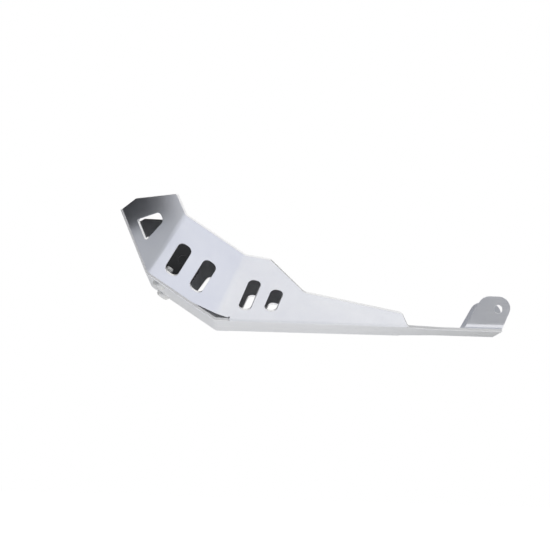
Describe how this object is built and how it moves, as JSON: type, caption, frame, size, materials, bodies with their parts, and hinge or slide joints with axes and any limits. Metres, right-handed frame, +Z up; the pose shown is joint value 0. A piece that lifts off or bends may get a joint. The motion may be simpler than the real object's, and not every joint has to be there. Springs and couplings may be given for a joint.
{
  "type": "engine guard",
  "caption": "Folded aluminium engine guard with a ramped nose, slotted flared side wings, rear mounting ears and steel front brackets, shielding a motorbike engine from below.",
  "frame": {"origin": "middle of the overall length on the centreline, at the underside of the flat base", "axes": "+X to the rear of the motorbike, +Y to its right side, +Z up"},
  "size_m": [0.3966, 0.3034, 0.1211],
  "materials": {
    "satin_aluminium": "satin anodised sheet, natural silver",
    "black_steel": "black powder coat",
    "stainless_steel": "plain stainless",
    "zinc_steel": "zinc plated"
  },
  "bodies": {
    "root": {"guard_shell": "satin_aluminium", "front_bracket_left": "black_steel", "front_bracket_right": "black_steel", "front_screws": "stainless_steel", "front_lock_nuts": "zinc_steel"}
  },
  "joints": []
}
